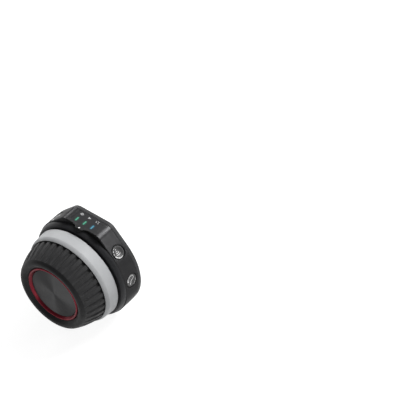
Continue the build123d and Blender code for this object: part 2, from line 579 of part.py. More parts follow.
def wheel_hub():
    """Web and rim that carry the marking ring, with magnet pockets, a key and the stop pin's hole."""
    hub = turned(
        (SHAFT_BORE_R, WEB_FRONT), (RIM_IN, WEB_FRONT), (RIM_IN, RIM_FRONT), (RIM_R, RIM_FRONT),
        (RIM_R, FLANGE_FRONT), (FLANGE_R, FLANGE_FRONT), (FLANGE_R, FLANGE_REAR), (RIM_IN, FLANGE_REAR),
        (RIM_IN, WEB_REAR), (SHAFT_BORE_R, WEB_REAR),
    )
    hub -= [magnet(a) for a in MAGNET_ANGLES]
    hub -= rod(STOP_PIN_R, WEB_FRONT - 1, WEB_REAR + 1, 0, STOP_RADIUS)
    hub -= [rod(SMALL_SCREW_R, WEB_FRONT - 1, WEB_REAR + 1, *polar(HUB_SCREW_R, a)) for a in HUB_SCREW_ANGLES]
    knob_holes = [polar(KNOB_SCREW_R, a) for a in KNOB_SCREW_ANGLES]
    hub -= [rod(KNOB_THREAD_R, WEB_FRONT - 1, KNOB_SCREW_TIP, x, z) for x, z in knob_holes]
    return hub + block(-KEY_HALF, KEY_HALF, -KEY_LENGTH, FLANGE_FRONT, -KEY_R, 1 - RIM_R)


def magnet(angle):
    """One magnet let into the hub's rim from outside."""
    return facing(angle, RIM_R - 0.05 - MAGNET_T / 2, MAGNET_Y) * Cylinder(MAGNET_R, MAGNET_T)


def marking_ring():
    """White ring that slides on over the knob: a slightly conical band, a bevelled lip and a keyway."""
    edge = RING_EDGE
    band = Polyline(
        (RING_BORE, RING_REAR), (RING_R - edge, RING_REAR), (RING_R, RING_REAR - edge),
        (RING_BEVEL_R, RING_BEVEL),
    )
    middle = ((RING_BEVEL_R + RING_LIP_R) / 2 + RING_LIP_BULGE, (RING_BEVEL + RING_FRONT) / 2)
    lip = ThreePointArc((RING_BEVEL_R, RING_BEVEL), middle, (RING_LIP_R, RING_FRONT))
    front = Polyline((RING_LIP_R, RING_FRONT), (RING_BORE, RING_FRONT), (RING_BORE, RING_REAR))
    body = revolve(make_face(band + lip + front), Axis.Y) - keeper_band(RING_BORE)
    half = KEY_HALF + KEY_ROOM
    return body - block(-half, half, -KEY_LENGTH - 2 * KEY_ROOM, 0, -KEY_R - KEY_ROOM, 1 - RING_BORE)


def keeper_band(inner):
    """Steel band in the marking ring that the magnets hold."""
    return ring(RING_BORE + KEEPER_T, inner, KEEPER_Y0, KEEPER_Y1)


def grip_sleeve():
    """Rubber sleeve on the barrel curve; each flute is cut by a ring whose inside follows the flute's floor."""
    blank = revolve(make_face(
        barrel_arc(SLEEVE_REAR, SLEEVE_FRONT, 0)
        + Line((barrel(SLEEVE_FRONT), SLEEVE_FRONT), (barrel(SLEEVE_FRONT, SLEEVE_T), SLEEVE_FRONT))
        + barrel_arc(SLEEVE_FRONT, SLEEVE_REAR, SLEEVE_T)
        + Line((barrel(SLEEVE_REAR, SLEEVE_T), SLEEVE_REAR), (barrel(SLEEVE_REAR), SLEEVE_REAR))
    ), Axis.Y)
    centre_r, centre_y, size = barrel_circle(FLUTE_DEPTHS)
    whole = Pos(0, centre_y, centre_r) * Rot(0, 90, 0) * Torus(size + FLUTE_R, FLUTE_R)
    reach, top = 2 * FLUTE_R, BARREL_REAR_R + 2 * FLUTE_R
    cutter = whole & block(-FLUTE_R, FLUTE_R, SLEEVE_FRONT - reach, SLEEVE_REAR + reach, 0, top)
    return blank - [Rot(0, 360 * k / FLUTES, 0) * cutter for k in range(FLUTES)]


def knob_core():
    """Hollow knob body under the sleeve, with three screw posts."""
    rear, front, seat_r = SLEEVE_REAR, CORE_FRONT, DISC_R + 0.05
    skin = barrel_arc(rear, front, SLEEVE_T)
    inside = barrel_arc(CORE_BACK_WALL, SKIRT_FRONT, SLEEVE_T + CORE_T)
    face = Polyline(
        skin @ 1, (seat_r, front), (seat_r, DISC_REAR), (0, DISC_REAR), (0, CORE_BACK_WALL), inside @ 0,
    )
    skirt_in = barrel(SKIRT_FRONT, SLEEVE_T + CORE_T)
    skirt = Polyline(inside @ 1, (skirt_in, RIM_FRONT), (SKIRT_R, RIM_FRONT), (SKIRT_R, rear), skin @ 0)
    core = revolve(make_face(skin + face + inside + skirt), Axis.Y)
    places = [polar(KNOB_SCREW_R, a) for a in KNOB_SCREW_ANGLES]
    core += [rod(KNOB_POST_R, CORE_BACK_WALL - 0.2, WEB_FRONT, x, z) for x, z in places]
    core -= [rod(KNOB_THREAD_R + 0.05, CORE_FRONT, WEB_FRONT + 1, x, z) for x, z in places]
    return core - [rod(KNOB_HEAD_R + 0.2, DISC_REAR, DISC_REAR + 2.2, x, z) for x, z in places]


def front_bezel():
    """Smooth front rim of the knob: it slopes up from the red ring to a soft crest and rolls over outside."""
    slope = Line(*BEZEL_SLOPE)
    crest = TangentArc(BEZEL_SLOPE[1], BEZEL_NOSE, tangent=slope % 1)
    nose = TangentArc(BEZEL_NOSE, (barrel(BEZEL_REAR), BEZEL_REAR), tangent=crest % 1)
    back = Polyline(nose @ 1, *BEZEL_TENON, (BEZEL_BORE, CORE_FRONT), BEZEL_SLOPE[0])
    return revolve(make_face(slope + crest + nose + back), Axis.Y)


def red_trim_ring():
    """Raised red ring between the bezel and the cap."""
    inner, outer = DISC_R + TRIM_GAP, BEZEL_BORE - TRIM_GAP / 2
    crest = ThreePointArc((outer, TRIM_SHOULDER), (outer - TRIM_ROLL / 3, TRIM_CREST + TRIM_ROLL / 3),
                          (outer - TRIM_ROLL, TRIM_CREST))
    face = Polyline(
        crest @ 1, (inner + TRIM_ROLL, TRIM_CREST + TRIM_FALL), (inner, DISC_FRONT), (inner, CORE_FRONT),
        (outer, CORE_FRONT), crest @ 0,
    )
    return revolve(make_face(crest + face), Axis.Y)


def cap_disc():
    """Spun metal cap, very slightly dished, with a rolled edge and a centre pip."""
    return turned(
        (0, DISC_REAR), (DISC_R, DISC_REAR), (DISC_R, DISC_FRONT + DISC_EDGE), (DISC_R - DISC_EDGE, DISC_FRONT),
        (PIP_R, DISC_FRONT + DISC_DISH), (0, DISC_FRONT + 2 * DISC_DISH),
    )


def shaft_circlip():
    """Open retaining ring in the shaft's groove."""
    gap = block(-CLIP_GAP_HALF, CLIP_GAP_HALF, CLIP_Y0 - 1, CLIP_Y1 + 1, -SHAFT_FLANGE_R, 0)
    return ring(CLIP_OUT, CLIP_IN, CLIP_Y0, CLIP_Y1) - gap


# ---- pieces: node name to a solid, or to a list of separate solids ----
def housing_pieces():
    stop_block, stop_pads = stop_pieces()
    port_shell, port_tongue = charge_port()
    floor = CASE_FRONT + WALL
    pieces = {
        "body_casing": body_casing(),
        "front_collar": front_collar(),
        "index_dot": dot(),
        "rear_cover": rear_cover(),
        "cover_gasket": gasket_loop(),
        "cover_screws": [
            countersunk(SMALL_SCREW_R, SMALL_HEAD_R, COVER_REAR, SCREW_TIP, *polar(COVER_SCREW_R, a))
            for a in COVER_SCREW_ANGLES
        ],
        "collar_screws": [
            countersunk(SMALL_SCREW_R, SMALL_HEAD_R, floor, COLLAR_SCREW_TIP, *polar(COLLAR_SCREW_R, a))
            for a in COLLAR_SCREW_ANGLES
        ],
        "status_window": window_panel(0.05, WINDOW_FLOOR, WINDOW_TOP)
        - [light_bar(i, WINDOW_FLOOR - 1, CASE_TOP) for i in LIGHT_PLACES.values()],
        "status_board": block(-STATUS_BOARD_HALF, STATUS_BOARD_HALF, floor, STATUS_BOARD_REAR,
                              STATUS_BOARD_Z - STATUS_BOARD_T, STATUS_BOARD_Z),
        "status_leds": [status_led(i) for i in LIGHT_PLACES.values()],
        "main_board": main_board(),
        "encoder_chip": block(-ENCODER_HALF, ENCODER_HALF, BOARD_FRONT - ENCODER_T, BOARD_FRONT,
                              -ENCODER_HALF, ENCODER_HALF),
        "radio_module": block(*RADIO_BOX[:2], BOARD_FRONT - RADIO_T, BOARD_FRONT, *RADIO_BOX[2:]),
        "board_screws": [board_screw(x, z) for x, z in BOARD_POSTS],
        "battery_lower": block(*CELL_LOWER[:2], CELL_FRONT, CELL_REAR, *CELL_LOWER[2:]),
        "battery_left": block(*CELL_LEFT[:2], CELL_FRONT, CELL_REAR, *CELL_LEFT[2:]),
        "display_module": display_module(),
        "display_window": display_window(),
        "charge_port_shell": port_shell,
        "charge_port_tongue": port_tongue,
        "mount_insert": mount_insert(),
        "stop_block": stop_block,
        "stop_pads": stop_pads,
        "damping_ring": ring(*DAMPER_RADII, WEB_REAR + DAMPER_GAP, COLLAR_FRONT),
        "tact_switches": [facing(a) * switch_body() for a in BUTTON_ANGLES.values()],
        "switch_boards": [facing(a) * switch_board() for a in BUTTON_ANGLES.values()],
    }
    for name, place in LIGHT_PLACES.items():
        pieces[f"status_light_{name}"] = light_bar(place, STATUS_BOARD_Z + LED_H, WINDOW_TOP)
    return pieces


def wheel_pieces():
    return {
        "wheel_shaft": wheel_shaft(),
        "bearing_spacer": ring(SPACER_R, SHAFT_R, FRONT_BEARING_Y + BEARING_W, REAR_BEARING_Y),
        "bearing_shim": ring(SHIM_R, SHAFT_R, REAR_BEARING_Y + BEARING_W, CLIP_Y0),
        "shaft_circlip": shaft_circlip(),
        "encoder_magnet": ring(SHAFT_BORE_R, 0, ENCODER_Y0, ENCODER_Y1),
        "wheel_hub": wheel_hub(),
        "hub_screws": [
            cheese(SMALL_SCREW_R, HUB_HEAD_R, WEB_FRONT - HUB_HEAD_H, HUB_HEAD_H, HUB_SCREW_TIP,
                   *polar(HUB_SCREW_R, a))
            for a in HUB_SCREW_ANGLES
        ],
        "stop_pin": rod(STOP_PIN_R, WEB_FRONT, GROOVE_FLOOR - 0.5, 0, STOP_RADIUS),
        "ring_magnets": [magnet(a) for a in MAGNET_ANGLES],
        "knob_core": knob_core(),
        "knob_screws": [
            cheese(KNOB_THREAD_R, KNOB_HEAD_R, DISC_REAR + 0.3, KNOB_HEAD_H, KNOB_SCREW_TIP,
                   *polar(KNOB_SCREW_R, a))
            for a in KNOB_SCREW_ANGLES
        ],
        "grip_sleeve": grip_sleeve(),
        "front_bezel": front_bezel(),
        "red_trim_ring": red_trim_ring(),
        "cap_disc": cap_disc(),
        "marking_ring": marking_ring(),
        "ring_keeper_band": keeper_band(RING_BORE + 0.05),
    }


def bearing_pieces():
    pieces = {}
    for name, y in (("front", FRONT_BEARING_Y), ("rear", REAR_BEARING_Y)):
        outer, inner, balls = bearing(y)
        pieces[f"{name}_bearing_outer_race"] = outer
        pieces[f"{name}_bearing_inner_race"] = inner
        pieces[f"{name}_bearing_balls"] = balls
    return pieces


def button_pieces():
    pieces = {}
    for name, angle in BUTTON_ANGLES.items():
        pieces[f"{name}_button_cap"] = facing(angle) * button_cap()
        pieces[f"{name}_switch_plunger"] = facing(angle) * switch_plunger()
    return pieces


for pieces in (housing_pieces(), wheel_pieces(), bearing_pieces(), button_pieces()):
    for name, shape in pieces.items():
        solids = shape if isinstance(shape, list) else shape.solids()
        placed = Compound(children=[STAND * s for s in solids]) if len(solids) > 1 else STAND * solids[0]
        export_step(placed, f"parts/{name}.step")
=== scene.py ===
"""Looks of the follow focus hand wheel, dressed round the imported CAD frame.

Places on the wheel are in mm from its axis, and the knob faces -Y. Blender's own units are metres.
"""
import json
import math

import bmesh
import bpy
from mathutils import Matrix, Vector


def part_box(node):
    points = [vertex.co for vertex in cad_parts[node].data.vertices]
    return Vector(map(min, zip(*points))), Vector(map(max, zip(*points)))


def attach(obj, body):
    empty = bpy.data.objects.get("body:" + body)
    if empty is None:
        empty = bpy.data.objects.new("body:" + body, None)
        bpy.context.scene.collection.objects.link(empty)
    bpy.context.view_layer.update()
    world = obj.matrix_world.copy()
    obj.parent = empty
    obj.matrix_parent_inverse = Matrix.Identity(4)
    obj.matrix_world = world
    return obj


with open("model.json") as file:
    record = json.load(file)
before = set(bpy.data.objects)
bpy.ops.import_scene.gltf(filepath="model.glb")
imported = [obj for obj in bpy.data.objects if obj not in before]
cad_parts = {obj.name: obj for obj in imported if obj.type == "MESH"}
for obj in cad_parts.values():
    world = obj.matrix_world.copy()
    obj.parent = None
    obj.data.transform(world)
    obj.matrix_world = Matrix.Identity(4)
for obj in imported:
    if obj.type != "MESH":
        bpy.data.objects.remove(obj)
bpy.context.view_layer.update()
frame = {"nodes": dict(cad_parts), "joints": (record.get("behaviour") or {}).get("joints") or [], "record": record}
MM = 0.001

# ---- places from the frame ----
JOINTS = {joint["name"]: joint for joint in frame["joints"]}
MOUNTS = {mount["name"]: mount for mount in frame["record"]["mounts"]}
AXIS = Vector(JOINTS["wheel_turn"]["pos_m"])


def at(x, y, z):
    """A point given in mm from the wheel's axis."""
    return AXIS + Vector((x, y, z)) * MM


def middle_of(node):
    """The middle of a CAD node's box."""
    low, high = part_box(node)
    return (low + high) / 2


# ---- shader nodes ----
def feed(tree, socket, value):
    """Sets an input socket to a value, or links another node's output to it."""
    if isinstance(value, bpy.types.NodeSocket):
        tree.links.new(value, socket)
    else:
        socket.default_value = value


def add_node(tree, kind, **words):
    """A new node. Lower case words are its settings, and capitalised ones its input sockets."""
    node = tree.nodes.new(kind)
    for word, value in words.items():
        if word.islower():
            setattr(node, word, value)
        else:
            feed(tree, node.inputs[word.replace("_", " ")], value)
    return node


def add_math(tree, operation, *values):
    """The result of an operation on values and other nodes' outputs, kept between 0 and 1."""
    node = add_node(tree, "ShaderNodeMath", operation=operation, use_clamp=True)
    for socket, value in zip(node.inputs, values):
        feed(tree, socket, value)
    return node.outputs["Value"]


def rgba(color):
    """A shader's colour, from three levels or from one."""
    levels = color if isinstance(color, tuple) else (color,) * 3
    return (*levels, 1.0)


# ---- materials ----
NOISE_DETAIL, GRAIN_DETAIL = 4.0, 3.0
NOISE_ROUGHNESS = 0.55
NOISE_SPAN = (0.35, 0.65)                           # where in a noise a ramp goes from low to high
FINE_GRAIN, COARSE_GRAIN = 0.02 * MM, 0.04 * MM    # depths


class Material:
    """One procedural material on the Principled shader. Its textures lie in the object's own space."""

    def __init__(self, name, color, roughness=0.5, metallic=0.0, specular=0.5):
        self.data = bpy.data.materials.new(name)
        self.data.use_nodes = True
        self.tree = self.data.node_tree
        self.coords = add_node(self.tree, "ShaderNodeTexCoord").outputs["Object"]
        self.set(Base_Color=rgba(color), Roughness=roughness, Metallic=metallic, Specular_IOR_Level=specular)

    def set(self, **sockets):
        """Sets or links sockets of the shader."""
        shader = self.tree.nodes["Principled BSDF"]
        for socket, value in sockets.items():
            feed(self.tree, shader.inputs[socket.replace("_", " ")], value)

    def noise(self, scale, detail=NOISE_DETAIL):
        """Noise of `scale` features per metre."""
        noise = add_node(self.tree, "ShaderNodeTexNoise", Vector=self.coords, Scale=scale, Detail=detail,
                         Roughness=NOISE_ROUGHNESS)
        return noise.outputs["Fac"]

    def ramp(self, factor, low, high, span=NOISE_SPAN):
        """Goes from one colour or level to another while the factor crosses the span."""
        ramp = add_node(self.tree, "ShaderNodeValToRGB", Fac=factor)
        for stop, place, color in zip(ramp.color_ramp.elements, span, (low, high)):
            stop.position = place
            stop.color = rgba(color)
        return ramp.outputs["Color"]

    def mottle(self, dark, light, scale):
        """Lets the colour vary a little over the surface."""
        self.set(Base_Color=self.ramp(self.noise(scale), dark, light))

    def vary_roughness(self, low, high, scale):
        """Lets the gloss vary a little over the surface."""
        self.set(Roughness=self.ramp(self.noise(scale), low, high))

    def grain(self, scale, strength, depth=FINE_GRAIN):
        """A fine bump, as of blasted metal or moulded plastic."""
        height = self.noise(scale, GRAIN_DETAIL)
        bump = add_node(self.tree, "ShaderNodeBump", Height=height, Strength=strength, Distance=depth)
        self.set(Normal=bump.outputs["Normal"])


EDGE_TINT = 0.4     # share of the reflection at the edges that the dye lets through


def dyed_metal(name, dark, light, roughness, metallic=0.0):
    """Satin anodised metal: a dark reflection that rises only a little at the edges."""
    metal = Material(name, dark, metallic=metallic, specular=0.35)
    metal.set(Specular_Tint=rgba(EDGE_TINT))
    metal.mottle(dark, light, scale=90.0)
    metal.vary_roughness(*roughness, scale=240.0)
    metal.grain(scale=5200.0, strength=0.18)
    return metal


def casing():
    dark, light = (0.029, 0.029, 0.030), (0.034, 0.034, 0.035)
    return dyed_metal("casing_anodised", dark, light, roughness=(0.30, 0.38), metallic=0.8)


def collar():
    dark, light = (0.025, 0.026, 0.028), (0.030, 0.030, 0.033)
    return dyed_metal("collar_anodised", dark, light, roughness=(0.42, 0.52))


def wheel_hub():
    dark, light = (0.018, 0.018, 0.019), (0.022, 0.022, 0.024)
    return dyed_metal("hub_black", dark, light, roughness=(0.45, 0.55))


def rear_cover():
    cover = Material("rear_cover_matt", (0.024, 0.024, 0.026), specular=0.4)
    cover.mottle((0.022, 0.022, 0.024), (0.028, 0.028, 0.030), scale=120.0)
    cover.vary_roughness(0.5, 0.62, scale=300.0)
    cover.grain(scale=3600.0, strength=0.4, depth=COARSE_GRAIN)
    return cover


def knob_plastic():
    plastic = Material("knob_plastic", (0.014, 0.014, 0.015), specular=0.2)
    plastic.mottle((0.013, 0.013, 0.014), (0.016, 0.016, 0.017), scale=150.0)
    plastic.vary_roughness(0.48, 0.58, scale=260.0)
    plastic.grain(scale=5200.0, strength=0.15)
    return plastic


def grip_rubber():
    rubber = Material("grip_rubber", (0.028, 0.028, 0.029), specular=0.26)
    rubber.set(Sheen_Weight=0.05, Sheen_Roughness=0.5)
    rubber.mottle((0.026, 0.026, 0.027), (0.031, 0.031, 0.032), scale=180.0)
    rubber.vary_roughness(0.55, 0.7, scale=400.0)
    rubber.grain(scale=4200.0, strength=0.35, depth=COARSE_GRAIN)
    return rubber


def white_ring():
    white = Material("marking_white", (0.50, 0.51, 0.52), specular=0.4)
    white.mottle((0.48, 0.49, 0.50), (0.53, 0.54, 0.55), scale=60.0)
    white.vary_roughness(0.42, 0.55, scale=300.0)
    white.grain(scale=4800.0, strength=0.12)
    return white


def red_ring():
    red = Material("red_anodised", (0.165, 0.005, 0.015), metallic=0.6, specular=0.4)
    red.mottle((0.15, 0.004, 0.013), (0.18, 0.005, 0.016), scale=200.0)
    red.vary_roughness(0.28, 0.38, scale=500.0)
    return red


def spun_cap():
    """Turned metal: its fine rings draw a reflection out into a fan of light and dark."""
    cap = Material("spun_cap", (0.078, 0.078, 0.079), roughness=0.6, metallic=1.0)
    rings = add_node(cap.tree, "ShaderNodeTangent", direction_type="RADIAL", axis="Y")
    cap.set(Anisotropic=0.92, Anisotropic_Rotation=0.1, Tangent=rings.outputs["Tangent"])
    cap.mottle((0.074, 0.074, 0.075), (0.082, 0.082, 0.083), scale=140.0)
    return cap


def steel():
    metal = Material("steel", (0.52, 0.52, 0.53), metallic=1.0)
    metal.vary_roughness(0.22, 0.34, scale=700.0)
    return metal


def black_screw():
    screw = Material("black_screw", (0.05, 0.05, 0.052), metallic=0.9)
    screw.vary_roughness(0.3, 0.45, scale=900.0)
    return screw


def button_cap():
    plastic = Material("button_cap", (0.042, 0.042, 0.043))
    plastic.mottle((0.040, 0.040, 0.041), (0.047, 0.047, 0.048), scale=200.0)
    plastic.vary_roughness(0.36, 0.46, scale=500.0)
    plastic.grain(scale=5200.0, strength=0.12)
    return plastic


# Three status lights show in the window, and each gives the tint round it a faint glow.
GREEN, CYAN = (0.03, 0.25, 0.15), (0.03, 0.20, 0.29)
LIGHT_STRENGTH = 0.6
LIGHT_MOTTLE = 0.8              # level of a light's darker spots against its own colour
GREEN_GLOW, CYAN_GLOW = (0.002, 0.060, 0.034), (0.002, 0.045, 0.075)
GLOWS = {"left": GREEN_GLOW, "middle": GREEN_GLOW, "right": CYAN_GLOW}
GLOW_REACH = (1.7, 3.0)         # how far a glow spreads from its light's middle in X and in Y
GLOW_SPAN = (0.05, 0.6)         # from the rim of that reach inwards: where it starts and where it is full


def status_light(name, color):
    light = Material(name, color, roughness=0.4)
    light.set(Emission_Color=rgba(color), Emission_Strength=LIGHT_STRENGTH)
    light.mottle(color, tuple(level * LIGHT_MOTTLE for level in color), scale=900.0)
    return light


def glow_of(window, side):
    """The glow round one status light, as a colour that fades out with the distance."""
    light = middle_of(f"status_light_{side}")
    across, along = (1 / (reach * MM) for reach in GLOW_REACH)
    scaled = add_node(window.tree, "ShaderNodeMapping", Vector=window.coords, Scale=(across, along, 0),
                      Location=(-light.x * across, -light.y * along, 0))
    ball = add_node(window.tree, "ShaderNodeTexGradient", gradient_type="SPHERICAL",
                    Vector=scaled.outputs["Vector"])
    return window.ramp(ball.outputs["Fac"], 0.0, GLOWS[side], GLOW_SPAN)


def tinted_window():
    window = Material("window_tinted", (0.024, 0.024, 0.026), specular=0.12)
    window.vary_roughness(0.36, 0.44, scale=200.0)
    total = glow_of(window, "left")
    for side in ("middle", "right"):
        both = add_node(window.tree, "ShaderNodeMix", data_type="RGBA", blend_type="ADD", Factor=1.0,
                        A=total, B=glow_of(window, side))
        total = both.outputs["Result"]
    window.set(Emission_Color=total, Emission_Strength=1.0)
    return window


def white_print():
    paint = Material("white_print", (0.80, 0.80, 0.80), roughness=0.55, specular=0.3)
    paint.mottle((0.78, 0.78, 0.78), (0.86, 0.86, 0.86), scale=900.0)
    return paint


def print_behind_tint():
    paint = Material("print_behind_tint", (0.44, 0.44, 0.45), roughness=0.4, specular=0.2)
    paint.mottle((0.41, 0.41, 0.42), (0.47, 0.47, 0.48), scale=900.0)
    return paint


def circuit_board():
    board = Material("circuit_board", (0.02, 0.10, 0.05), roughness=0.35)
    board.mottle((0.018, 0.09, 0.045), (0.03, 0.13, 0.07), scale=500.0)
    return board


def cell_foil():
    foil = Material("cell_foil", (0.42, 0.43, 0.45), metallic=0.8)
    foil.vary_roughness(0.3, 0.45, scale=250.0)
    return foil


def seal_rubber():
    rubber = Material("seal_rubber", (0.02, 0.02, 0.02), specular=0.3)
    rubber.vary_roughness(0.6, 0.75, scale=400.0)
    return rubber


MATERIALS = {
    "casing": casing(),
    "collar": collar(),
    "hub": wheel_hub(),
    "cover": rear_cover(),
    "knob_plastic": knob_plastic(),
    "grip_rubber": grip_rubber(),
    "white_ring": white_ring(),
    "red_ring": red_ring(),
    "spun_cap": spun_cap(),
    "steel": steel(),
    "black_screw": black_screw(),
    "button": button_cap(),
    "window": tinted_window(),
    "green_light": status_light("green_light", GREEN),
    "cyan_light": status_light("cyan_light", CYAN),
    "white_paint": white_print(),
    "pcb": circuit_board(),
    "cell": cell_foil(),
    "seal": seal_rubber(),
}
MATERIALS["felt"] = MATERIALS["seal"]


def dress_cad_nodes():
    """Gives each CAD node the material of its slot in the record."""
    for subpart in frame["record"]["subparts"]:
        looks = frame["nodes"][subpart["node"]].data.materials
        looks.clear()
        looks.append(MATERIALS[subpart["material_slot"]].data)


# ---- mesh helpers ----
def add_mesh(name, verts, faces, material, body):
    """A new piece with flat faces, which rides on a body."""
    mesh = bpy.data.meshes.new(name)
    mesh.from_pydata(verts, [], faces)
    mesh.materials.append(material.data)
    shape = bmesh.new()
    shape.from_mesh(mesh)
    bmesh.ops.recalc_face_normals(shape, faces=shape.faces)
    shape.to_mesh(mesh)
    shape.free()
    piece = bpy.data.objects.new(name, mesh)
    bpy.context.scene.collection.objects.link(piece)
    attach(piece, body)


def bar_faces(start, count):
    """Faces of a closed bar through `count` sections of four points each, the first at point `start`."""
    faces = []
    for k in range(count - 1):
        a, b = start + 4 * k, start + 4 * (k + 1)
        faces += [(a + i, a + (i + 1) % 4, b + (i + 1) % 4, b + i) for i in range(4)]
    last = start + 4 * (count - 1)
    return faces + [tuple(start + i for i in (0, 1, 2, 3)), tuple(last + i for i in (3, 2, 1, 0))]


# ---- printed marks, each drawn in mm round its own middle, as (u, v) points ----
PRINT_LIFT, PRINT_SINK = 0.05, 0.05     # the paint's top over the surface, and its foot in it
ARC_STEP = 7.0                          # degrees between the points of an arc
CURVE_STEPS = 6                         # points to a stretch of a free curve
DOT_STEPS = 12                          # stretches across a round dot
END_CUT = 0.25                          # share of a stroke's round end that is left off, so it isn't sharp


def arc(radius, start, end, centre=(0, 0)):
    """Points of an arc between two angles."""
    count = max(2, round(abs(end - start) / ARC_STEP))
    turns = [math.radians(start + (end - start) * k / count) for k in range(count + 1)]
    return [(centre[0] + radius * math.cos(t), centre[1] + radius * math.sin(t)) for t in turns]


def between(a, b, c, d, t):
    """Value of the smooth (Catmull-Rom) curve from b to c at t, 0 to 1; a and d come before and after."""
    straight = 2 * b + (c - a) * t
    bend = (2 * a - 5 * b + 4 * c - d) * t**2 + (3 * b - a - 3 * c + d) * t**3
    return (straight + bend) / 2


def curve_through(points):
    """A smooth line through a few points."""
    ends = [points[0], *points, points[-1]]
    line = []
    for corners in zip(ends, ends[1:], ends[2:], ends[3:]):
        for k in range(CURVE_STEPS):
            line.append(tuple(between(*values, k / CURVE_STEPS) for values in zip(*corners)))
    return [*line, points[-1]]


def stroke(points, width, end_width=None):
    """Left and right edge points of a stroke with round ends; its width may change along it."""
    end_width = width if end_width is None else end_width
    runs = [0.0]
    for a, b in zip(points, points[1:]):
        runs.append(runs[-1] + math.dist(a, b))
    length, pairs = runs[-1], []
    for i, (point, run) in enumerate(zip(points, runs)):
        a, b = points[max(i - 1, 0)], points[min(i + 1, len(points) - 1)]
        side = Vector((a[1] - b[1], b[0] - a[0])).normalized()
        half = (width + (end_width - width) * run / length) / 2
        inset = min(1.0, min(run, length - run) / half + END_CUT)
        half *= math.sqrt(1 - (1 - inset) ** 2)
        pairs.append(((point[0] + side.x * half, point[1] + side.y * half),
                      (point[0] - side.x * half, point[1] - side.y * half)))
    return pairs


def dot(radius, centre):
    """A filled round dot, as a stroke."""
    pairs = []
    for k in range(1, DOT_STEPS):
        t = math.pi * k / DOT_STEPS
        u, half = centre[0] - radius * math.cos(t), radius * math.sin(t)
        pairs.append(((u, centre[1] + half), (u, centre[1] - half)))
    return pairs


def add_mark(name, strokes, place, material, body):
    """One printed mark: every stroke becomes a thin closed bar of paint, half in the surface."""
    verts, faces = [], []
    for pairs in strokes:
        faces += bar_faces(len(verts), len(pairs))
        for left, right in pairs:
            verts += [place(*left, PRINT_LIFT), place(*right, PRINT_LIFT)]
            verts += [place(*right, -PRINT_SINK), place(*left, -PRINT_SINK)]
    add_mesh(name, verts, faces, material, body)


# ---- marks on the buttons ----
CASE_R = -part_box("body_casing")[0].x / MM
BUTTON_Y = 10.8
CAP_SINK = 0.3                      # the cap's rim below the casing's surface
CAP_DISH, CAP_DISH_R = 0.6, 3.7     # depth and radius of the dish in its face
BROKEN_RING_R = 3.8


def button_place(side):
    """Maps (u, v, lift) on a button's dished face to a point: u runs to the rear, v up round the casing."""
    out = -Vector(JOINTS[f"{side}_button_press"]["axis"])
    rear = Vector((0, 1, 0))
    up = out.cross(rear)
    bowl = (CAP_DISH_R**2 + CAP_DISH**2) / (2 * CAP_DISH)

    def place(u, v, lift):
        off = min(math.hypot(u, v), CAP_DISH_R)
        depth = CAP_DISH - bowl + math.sqrt(bowl**2 - off**2)
        spot = out * (CASE_R - CAP_SINK - depth + lift) + rear * (BUTTON_Y + u) + up * v
        return at(*spot)

    return place


def wave_icon():
    """Wave arcs over a dot, in a broken ring."""
    source = (-0.5, 2.3)
    waves = [(1.4, 32), (2.6, 34), (3.8, 30)]       # radius and half angle of each
    dashes, half_dash = (112, 143, 172), 7
    strokes = [stroke(arc(radius, -90 - half, -90 + half, source), width=0.44) for radius, half in waves]
    strokes += [stroke(arc(BROKEN_RING_R, a - half_dash, a + half_dash), width=0.5) for a in dashes]
    tail = arc(BROKEN_RING_R, 194, 292)
    return [*strokes, dot(0.32, source), stroke(tail, width=0.8, end_width=0.3)]


def turn_icon():
    """A hooked arrow and a dot, in a broken ring."""
    top, tail = arc(BROKEN_RING_R, 66, 168), arc(BROKEN_RING_R, -4, -76)
    hook = curve_through([
        (0.9, 3.5), (2.1, 2.4), (2.2, 0.9), (1.1, -0.2), (-0.1, -0.7), (-0.6, -1.7), (-1.7, -2.5)
    ])
    head = [(0.2, 3.7), (1.0, 3.65), (2.0, 3.2)]
    return [
        stroke(top, width=0.48, end_width=0.7),
        stroke(hook, width=0.52),
        dot(0.6, (-3.0, 0.5)),
        stroke(head, width=1.2, end_width=0.3),
        stroke(tail, width=0.24, end_width=0.2),
    ]


def power_icon():
    """A ring that is open at the top, with a bar in the gap."""
    ring, bar = arc(2.6, 120, 420), [(0, 3.2), (0, 0.4)]
    return [stroke(ring, width=0.45), stroke(bar, width=0.45)]


BUTTON_ICONS = {"upper_right": wave_icon, "lower_right": turn_icon, "left": power_icon}


def add_button_marks():
    for side, icon in BUTTON_ICONS.items():
        paint, body = MATERIALS["white_paint"], f"{side}_button"
        add_mark(f"{side}_button_icon", icon(), button_place(side), paint, body)


# ---- marks in the status window ----
ICON_ROW = 5.2                  # from the lights to the row of icons behind them


def window_place(side):
    """Maps (u, v, lift), to the right, to the rear and up from an icon's middle, to a point."""
    light = middle_of(f"status_light_{side}")
    middle = Vector((light.x, light.y + ICON_ROW * MM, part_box("status_window")[1].z))

    def place(u, v, lift):
        return middle + Vector((u, v, lift)) * MM

    return place


def motor_icon():
    """A ring with two lugs."""
    left_lug, right_lug = [(-1.5, 0), (-0.9, 0)], [(0.9, 0), (1.5, 0)]
    ring = arc(0.72, 0, 360)
    return [stroke(ring, width=0.62), stroke(left_lug, width=0.5), stroke(right_lug, width=0.5)]


def triangle_icon():
    """A small triangle that points to the right, as one stroke from its base to its tip."""
    base, tip = ((-1.0, 0.95), (-1.0, -0.95)), ((1.1, 0.05), (1.1, -0.05))
    return [[base, tip]]


def arrow_icon():
    """A stepped arrow."""
    corner, bar = [(-1.1, 0.9), (-1.1, -0.3), (-0.2, -0.3)], [(-0.2, 0.9), (1.2, 0.9)]
    leg = [(0.5, 0.2), (1.2, -1.0)]
    return [stroke(corner, width=0.5), stroke(bar, width=0.55), stroke(leg, width=0.6)]


WINDOW_ICONS = {"left": motor_icon, "middle": triangle_icon, "right": arrow_icon}


